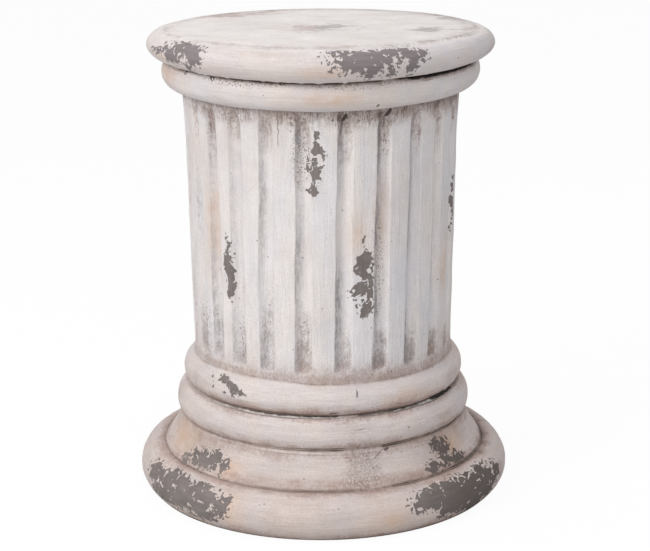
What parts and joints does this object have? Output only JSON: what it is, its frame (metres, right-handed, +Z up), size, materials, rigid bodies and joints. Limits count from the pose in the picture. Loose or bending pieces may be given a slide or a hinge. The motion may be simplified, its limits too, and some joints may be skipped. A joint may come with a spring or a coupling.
{
  "type": "doric column pedestal",
  "caption": "Short fluted column pedestal with a round slab top, astragal, two tori, collar and base ring, cast in one piece.",
  "frame": {"origin": "middle of the flat underside", "axes": "+Z up along the column's axis, the side shown in the picture faces -Y"},
  "size_m": [0.374, 0.374, 0.46],
  "materials": {
    "painted_casting": "matt off-white distressed paint on cast stone, worn through to dark grey in patches"
  },
  "bodies": {
    "root": {"column": "painted_casting"}
  },
  "joints": []
}
